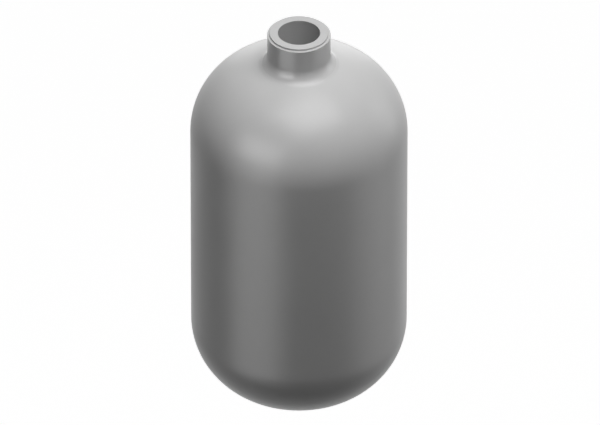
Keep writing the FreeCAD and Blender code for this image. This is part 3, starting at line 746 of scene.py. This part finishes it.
stage = {
    "floorZ": -2.2,
    "floorSize": 40,
    "floorColour": 0.35,
    "floorRoughness": 0.9,
    "floorSpecular": 0.1,
    "seenGlow": 0.97,          # white added to what the camera and reflections see of the floor
    "ambient": 0.02,           # the world's light on the object
}


# 1 for what the camera, a reflection or glass sees directly, 0 for bounced light
def seenByEye(nodes, links):
    light = nodes.new("ShaderNodeLightPath")
    seen = nodes.new("ShaderNodeMath")
    seen.operation = "MAXIMUM"
    links.new(light.outputs["Is Camera Ray"], seen.inputs[0])
    links.new(light.outputs["Is Glossy Ray"], seen.inputs[1])
    through = nodes.new("ShaderNodeMath")
    through.operation = "MAXIMUM"
    links.new(seen.outputs[0], through.inputs[0])
    links.new(light.outputs["Is Transmission Ray"], through.inputs[1])
    return through.outputs[0]


def makeFloor():
    deselectAll()
    bpy.ops.mesh.primitive_plane_add(size=stage["floorSize"], location=(0, 0, stage["floorZ"]))
    floor = bpy.context.object
    floor.name = "floor"
    material, tree, shader = newMaterial("paleFloor")
    nodes, links = tree.nodes, tree.links
    shader.inputs["Base Color"].default_value = grey(stage["floorColour"]) + (1,)
    shader.inputs["Roughness"].default_value = stage["floorRoughness"]
    shader.inputs["Specular IOR Level"].default_value = stage["floorSpecular"]
    glow = nodes.new("ShaderNodeMath")
    glow.operation = "MULTIPLY"
    links.new(seenByEye(nodes, links), glow.inputs[0])
    glow.inputs[1].default_value = stage["seenGlow"]
    shader.inputs["Emission Color"].default_value = (1, 1, 1, 1)
    links.new(glow.outputs[0], shader.inputs["Emission Strength"])
    # clear from below, so that the valve can be looked at from there
    clear = nodes.new("ShaderNodeBsdfTransparent")
    underside = nodes.new("ShaderNodeNewGeometry")
    sides = nodes.new("ShaderNodeMixShader")
    links.new(underside.outputs["Backfacing"], sides.inputs["Fac"])
    links.new(shader.outputs["BSDF"], sides.inputs[1])
    links.new(clear.outputs["BSDF"], sides.inputs[2])
    links.new(sides.outputs["Shader"], nodes["Material Output"].inputs["Surface"])
    floor.data.materials.append(material)


def makeWorld():
    sky = bpy.data.worlds.new("studio")
    bpy.context.scene.world = sky
    sky.use_nodes = True
    nodes, links = sky.node_tree.nodes, sky.node_tree.links
    strength = nodes.new("ShaderNodeMapRange")
    strength.inputs["To Min"].default_value = stage["ambient"]
    strength.inputs["To Max"].default_value = 1
    links.new(seenByEye(nodes, links), strength.inputs["Value"])
    background = nodes["Background"]
    background.inputs["Color"].default_value = (1, 1, 1, 1)
    links.new(strength.outputs["Result"], background.inputs["Strength"])


# each lamp: width and height, power in watts, azimuth and elevation it shines from, distance;
# the reflector panels only show as sheen on the enamel and light nothing else
lamps = {
    "overhead": {
        "size": (0.9, 0.8), "power": 12, "azimuth": 38, "elevation": 76.5, "distance": 1.1},
    "rightSide": {
        "size": (0.4, 0.7), "power": 1.35, "azimuth": 112, "elevation": 12, "distance": 1.0},
    "back": {
        "size": (0.8, 0.8), "power": 2.8, "azimuth": 180, "elevation": 12, "distance": 1.1},
}
reflectors = {
    "leftPanel": {
        "size": (1.2, 1.2), "power": 5.6, "azimuth": -45, "elevation": -12, "distance": 1.0},
    "leftPanelLow": {
        "size": (0.75, 0.45), "power": 2.1, "azimuth": -45, "elevation": -33, "distance": 1.0},
    "leftPanelMiddle": {
        "size": (0.6, 0.35), "power": 1.8, "azimuth": -42, "elevation": -8, "distance": 1.0},
    "leftPanelTop": {
        "size": (0.8, 0.5), "power": 6.2, "azimuth": -42, "elevation": 22, "distance": 1.0},
    "rightPanel": {
        "size": (0.7, 0.5), "power": 0.91, "azimuth": 79, "elevation": -30, "distance": 1.0},
}


def makeLamps():
    middle = Vector((0, 0, girthZ))
    for name, lamp in list(lamps.items()) + list(reflectors.items()):
        azimuth, elevation = math.radians(lamp["azimuth"]), math.radians(lamp["elevation"])
        level = math.cos(elevation)
        towards = Vector((math.sin(azimuth) * level, -math.cos(azimuth) * level,
                          math.sin(elevation)))
        data = bpy.data.lights.new(name, "AREA")
        data.shape = "RECTANGLE"
        data.size, data.size_y = lamp["size"]
        data.energy = lamp["power"]
        item = bpy.data.objects.new(name, data)
        bpy.context.scene.collection.objects.link(item)
        item.location = middle + towards * lamp["distance"]
        item.rotation_euler = (-towards).to_track_quat("-Z", "Y").to_euler()
        item.visible_camera = False
        item.visible_diffuse = name in lamps


camera = {
    "lens": 1000,
    "elevation": 35.264,
    "aimX": 0.000606,
    "aimZ": -0.1261,
    "frameWidth": 0.34615,
    "nearest": 1,
    "farthest": 40,
}


def makeCamera():
    data = bpy.data.cameras.new("camera")
    item = bpy.data.objects.new("camera", data)
    bpy.context.scene.collection.objects.link(item)
    data.lens = camera["lens"]
    distance = camera["frameWidth"] * data.lens / data.sensor_width
    elevation = math.radians(camera["elevation"])
    back = Vector((0, -math.cos(elevation), math.sin(elevation)))
    item.location = Vector((camera["aimX"], 0, camera["aimZ"])) + back * distance
    item.rotation_euler = (-back).to_track_quat("-Z", "Y").to_euler()
    data.clip_start = camera["nearest"]
    data.clip_end = camera["farthest"]
    bpy.context.scene.camera = item


makeFloor()
makeWorld()
makeLamps()
makeCamera()
bpy.context.scene.view_settings.view_transform = "Standard"
print("stage, lamps and camera set")
